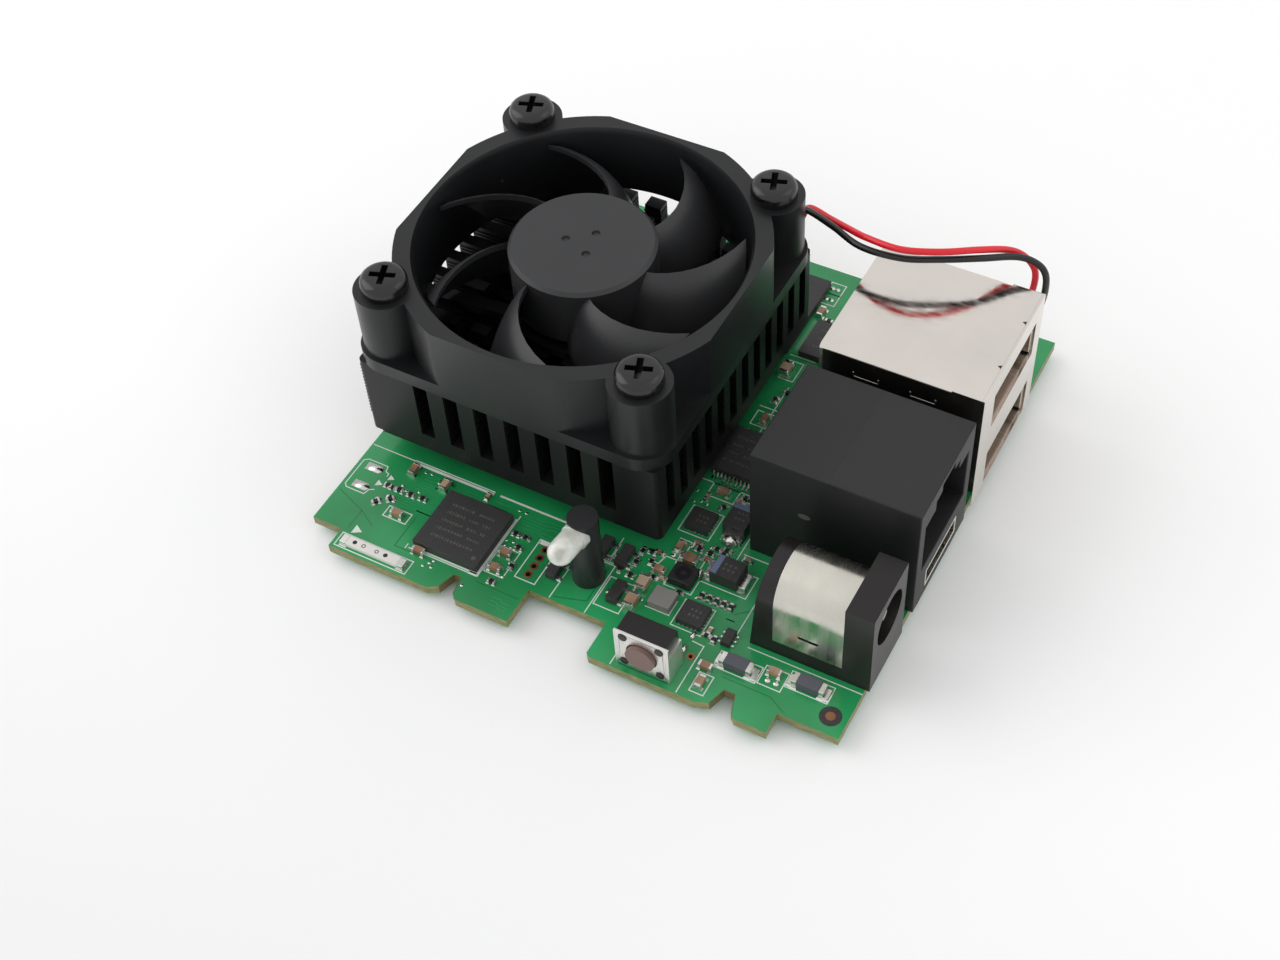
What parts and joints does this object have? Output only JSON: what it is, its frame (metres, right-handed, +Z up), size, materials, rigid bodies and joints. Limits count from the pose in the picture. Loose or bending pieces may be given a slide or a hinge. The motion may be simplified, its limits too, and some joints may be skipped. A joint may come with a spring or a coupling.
{
  "type": "single board computer",
  "caption": "Small single board computer with a fan and heatsink on its processor, a USB pair, network and video sockets, a power jack, a push button and a lamp.",
  "frame": {"origin": "centre of the rectangle around the board and its connectors, on the plane that the underside parts rest on", "axes": "+X towards the edge with the connectors' sockets, +Y away from the edge with the push button, +Z up from the board's top face"},
  "size_m": [0.0676, 0.0662, 0.0293],
  "materials": {
    "pcb": "green solder mask over a fibreglass board",
    "processor": "black moulded chip package",
    "thermal_pad": "soft grey heat pad",
    "heatsink": "black anodised",
    "fan_frame": "satin black moulded plastic",
    "fan_screws": "black oxide steel",
    "fan_circuit": "green circuit board",
    "fan_stator": "enamelled copper winding",
    "fan_bearing": "sintered bronze",
    "fan_impeller": "satin black moulded plastic",
    "fan_magnet": "bonded ferrite ring",
    "fan_shaft": "ground steel",
    "usb_shell": "nickel-plated steel sheet",
    "usb_body": "pale pink-white moulded plastic",
    "usb_contacts": "gold-plated contacts",
    "jack_housing": "black moulded plastic",
    "network_contacts": "gold-plated contacts",
    "video_shell": "nickel-plated steel sheet",
    "video_tongue": "black moulded plastic",
    "power_housing": "black moulded plastic",
    "power_sleeve": "bright nickel-plated spring",
    "power_pin": "bright nickel-plated pin",
    "button_body": "black moulded plastic",
    "button_cover": "bright tinned steel plate",
    "button_dome": "spring steel",
    "button_plunger": "brown moulded plastic",
    "lamp_lens": "milky white epoxy",
    "lamp_post": "black moulded plastic",
    "lamp_leads": "tinned wire",
    "wifi_module": "black moulded chip package",
    "wifi_antenna": "white ceramic",
    "antenna_ends": "tinned ends",
    "network_chip": "black moulded chip package",
    "network_chip_leads": "tinned leads",
    "storage_chip": "black moulded chip package",
    "hub_chip": "black moulded chip package",
    "regulator_chips": "black moulded chip package",
    "logic_chip": "black moulded chip package",
    "transistors": "black moulded package",
    "transistor_leads": "tinned leads",
    "power_inductor": "black ferrite",
    "shielded_inductor": "grey moulded metal powder",
    "tantalum_capacitors": "black moulded package",
    "tantalum_ends": "tinned ends",
    "ceramic_capacitors": "tan ceramic",
    "ceramic_ends": "tinned ends",
    "resistors": "black film on ceramic",
    "resistor_ends": "tinned ends",
    "diodes": "grey moulded package",
    "diode_ends": "tinned ends",
    "memory_chips": "black moulded chip package",
    "mounting_tabs": "soldered tabs",
    "signal_pins": "soldered pins",
    "fan_header": "white moulded plastic",
    "fan_plug": "white moulded plastic",
    "fan_wire_red": "red PVC sleeve",
    "fan_wire_black": "black PVC sleeve"
  },
  "bodies": {
    "board": {"pcb": "pcb", "processor": "processor", "thermal_pad": "thermal_pad", "heatsink": "heatsink", "fan_frame": "fan_frame", "fan_screws": "fan_screws", "fan_circuit": "fan_circuit", "fan_stator": "fan_stator", "fan_bearing": "fan_bearing", "usb_shell": "usb_shell", "usb_body": "usb_body", "usb_contacts": "usb_contacts", "jack_housing": "jack_housing", "network_contacts": "network_contacts", "video_shell": "video_shell", "video_tongue": "video_tongue", "power_housing": "power_housing", "power_sleeve": "power_sleeve", "power_pin": "power_pin", "button_body": "button_body", "button_cover": "button_cover", "button_dome": "button_dome", "lamp_lens": "lamp_lens", "lamp_post": "lamp_post", "lamp_leads": "lamp_leads", "wifi_module": "wifi_module", "wifi_antenna": "wifi_antenna", "antenna_ends": "antenna_ends", "network_chip": "network_chip", "network_chip_leads": "network_chip_leads", "storage_chip": "storage_chip", "hub_chip": "hub_chip", "regulator_chips": "regulator_chips", "logic_chip": "logic_chip", "transistors": "transistors", "transistor_leads": "transistor_leads", "power_inductor": "power_inductor", "shielded_inductor": "shielded_inductor", "tantalum_capacitors": "tantalum_capacitors", "tantalum_ends": "tantalum_ends", "ceramic_capacitors": "ceramic_capacitors", "ceramic_ends": "ceramic_ends", "resistors": "resistors", "resistor_ends": "resistor_ends", "diodes": "diodes", "diode_ends": "diode_ends", "memory_chips": "memory_chips", "mounting_tabs": "mounting_tabs", "signal_pins": "signal_pins", "fan_header": "fan_header", "fan_plug": "fan_plug", "fan_wire_red": "fan_wire_red", "fan_wire_black": "fan_wire_black"},
    "rotor": {"fan_impeller": "fan_impeller", "fan_magnet": "fan_magnet", "fan_shaft": "fan_shaft"},
    "plunger": {"button_plunger": "button_plunger"}
  },
  "joints": [
    {"name": "fan_spin", "type": "hinge", "parent": "board", "child": "rotor", "pos_m": [-0.01365, 0.0015, 0.0212], "axis": [0, 0, 1], "continuous": true},
    {"name": "button_press", "type": "slide", "parent": "board", "child": "plunger", "axis": [0, 1, 0], "range_m": [0, 0.00025], "stiffness_N_per_m": 6000}
  ]
}
